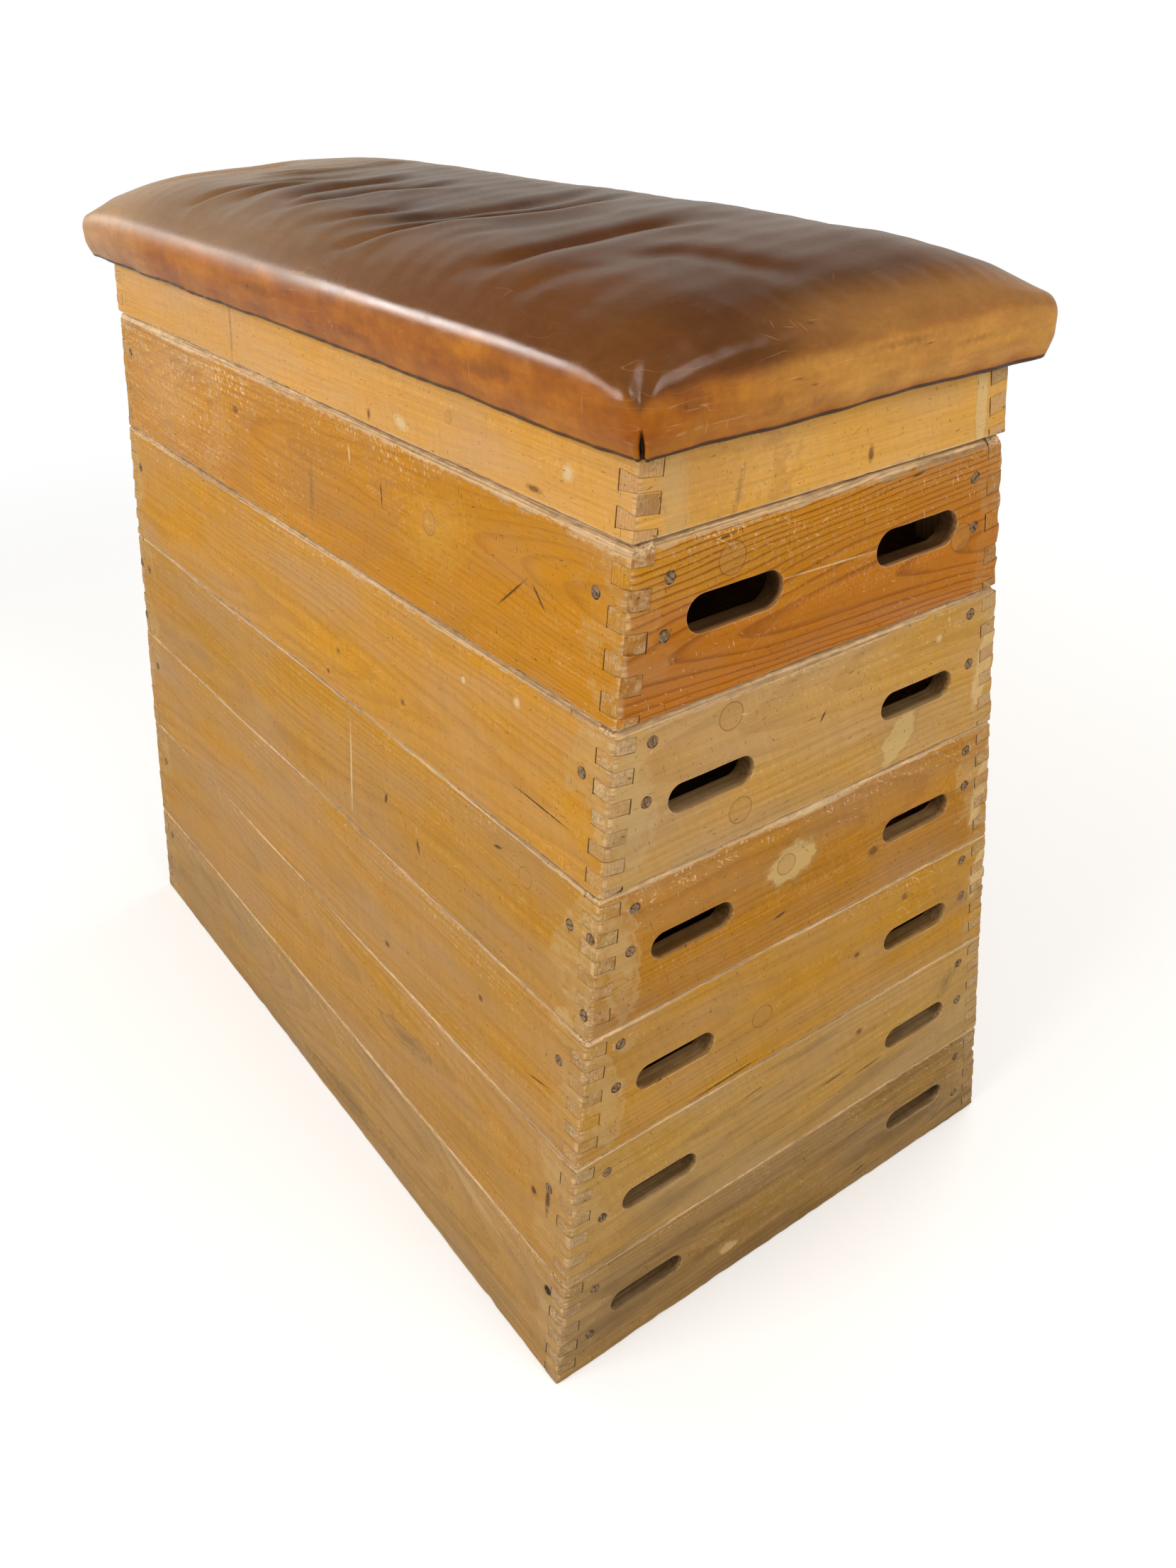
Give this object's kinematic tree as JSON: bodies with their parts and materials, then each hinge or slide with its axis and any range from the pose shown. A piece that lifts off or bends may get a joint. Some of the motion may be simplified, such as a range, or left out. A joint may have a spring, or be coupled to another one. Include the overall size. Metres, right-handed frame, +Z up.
{
  "type": "vaulting box",
  "caption": "Wooden gymnastics vaulting box of stacked, lift-off frame sections with sloping sides, hand slots in the ends and a crowned leather-covered top.",
  "frame": {"origin": "on the floor under the middle of the box", "axes": "+X along the length towards the front end, +Y across towards the left long side, +Z up"},
  "size_m": [1.253, 0.6834, 1.112],
  "materials": {
    "wood_section_1": "worn varnish over pine, greyed and dirty",
    "wood_section_2": "worn varnish over pine, greyed",
    "wood_section_3": "worn satin varnish over pine",
    "wood_section_4": "worn satin varnish over pine",
    "wood_section_5": "worn satin varnish over pine",
    "wood_section_6": "worn orange varnish over strong grain",
    "wood_top": "smooth satin varnish",
    "post_wood": "bare planed softwood, aged",
    "deck_wood": "bare planed softwood, aged",
    "padding": "felted stuffing",
    "leather": "worn glossy brown leather",
    "screw_steel": "dull aged steel",
    "filler": "matt wood filler, plugs and repairs"
  },
  "bodies": {
    "root": {"section_1_side_board_left": "wood_section_1", "section_1_side_board_right": "wood_section_1", "section_1_end_board_front": "wood_section_1", "section_1_corner_post_front_left": "post_wood", "section_1_corner_post_front_right": "post_wood", "section_1_end_board_back": "wood_section_1", "section_1_corner_post_back_left": "post_wood", "section_1_corner_post_back_right": "post_wood"},
    "section_2": {"section_2_side_board_left": "wood_section_2", "section_2_side_board_right": "wood_section_2", "section_2_end_board_front": "wood_section_2", "section_2_corner_post_front_left": "post_wood", "section_2_corner_post_front_right": "post_wood", "section_2_end_board_back": "wood_section_2", "section_2_corner_post_back_left": "post_wood", "section_2_corner_post_back_right": "post_wood"},
    "section_3": {"section_3_side_board_left": "wood_section_3", "section_3_side_board_right": "wood_section_3", "section_3_end_board_front": "wood_section_3", "section_3_corner_post_front_left": "post_wood", "section_3_corner_post_front_right": "post_wood", "section_3_end_board_back": "wood_section_3", "section_3_corner_post_back_left": "post_wood", "section_3_corner_post_back_right": "post_wood"},
    "section_4": {"section_4_side_board_left": "wood_section_4", "section_4_side_board_right": "wood_section_4", "section_4_end_board_front": "wood_section_4", "section_4_corner_post_front_left": "post_wood", "section_4_corner_post_front_right": "post_wood", "section_4_end_board_back": "wood_section_4", "section_4_corner_post_back_left": "post_wood", "section_4_corner_post_back_right": "post_wood"},
    "section_5": {"section_5_side_board_left": "wood_section_5", "section_5_side_board_right": "wood_section_5", "section_5_end_board_front": "wood_section_5", "section_5_corner_post_front_left": "post_wood", "section_5_corner_post_front_right": "post_wood", "section_5_end_board_back": "wood_section_5", "section_5_corner_post_back_left": "post_wood", "section_5_corner_post_back_right": "post_wood"},
    "section_6": {"section_6_side_board_left": "wood_section_6", "section_6_side_board_right": "wood_section_6", "section_6_end_board_front": "wood_section_6", "section_6_corner_post_front_left": "post_wood", "section_6_corner_post_front_right": "post_wood", "section_6_end_board_back": "wood_section_6", "section_6_corner_post_back_left": "post_wood", "section_6_corner_post_back_right": "post_wood"},
    "top_section": {"top_side_board_left": "wood_top", "top_side_board_right": "wood_top", "top_end_board_front": "wood_top", "top_corner_block_front_left": "post_wood", "top_corner_block_front_right": "post_wood", "top_end_board_back": "wood_top", "top_corner_block_back_left": "post_wood", "top_corner_block_back_right": "post_wood", "deck_board": "deck_wood", "padding": "padding", "leather_cover": "leather"}
  },
  "joints": [
    {"name": "section_2_lift", "type": "slide", "parent": "root", "child": "section_2", "axis": [0, 0, 1], "range_m": [0, 0.12]},
    {"name": "section_3_lift", "type": "slide", "parent": "section_2", "child": "section_3", "axis": [0, 0, 1], "range_m": [0, 0.12]},
    {"name": "section_4_lift", "type": "slide", "parent": "section_3", "child": "section_4", "axis": [0, 0, 1], "range_m": [0, 0.12]},
    {"name": "section_5_lift", "type": "slide", "parent": "section_4", "child": "section_5", "axis": [0, 0, 1], "range_m": [0, 0.12]},
    {"name": "section_6_lift", "type": "slide", "parent": "section_5", "child": "section_6", "axis": [0, 0, 1], "range_m": [0, 0.12]},
    {"name": "top_section_lift", "type": "slide", "parent": "section_6", "child": "top_section", "axis": [0, 0, 1], "range_m": [0, 0.12]}
  ]
}
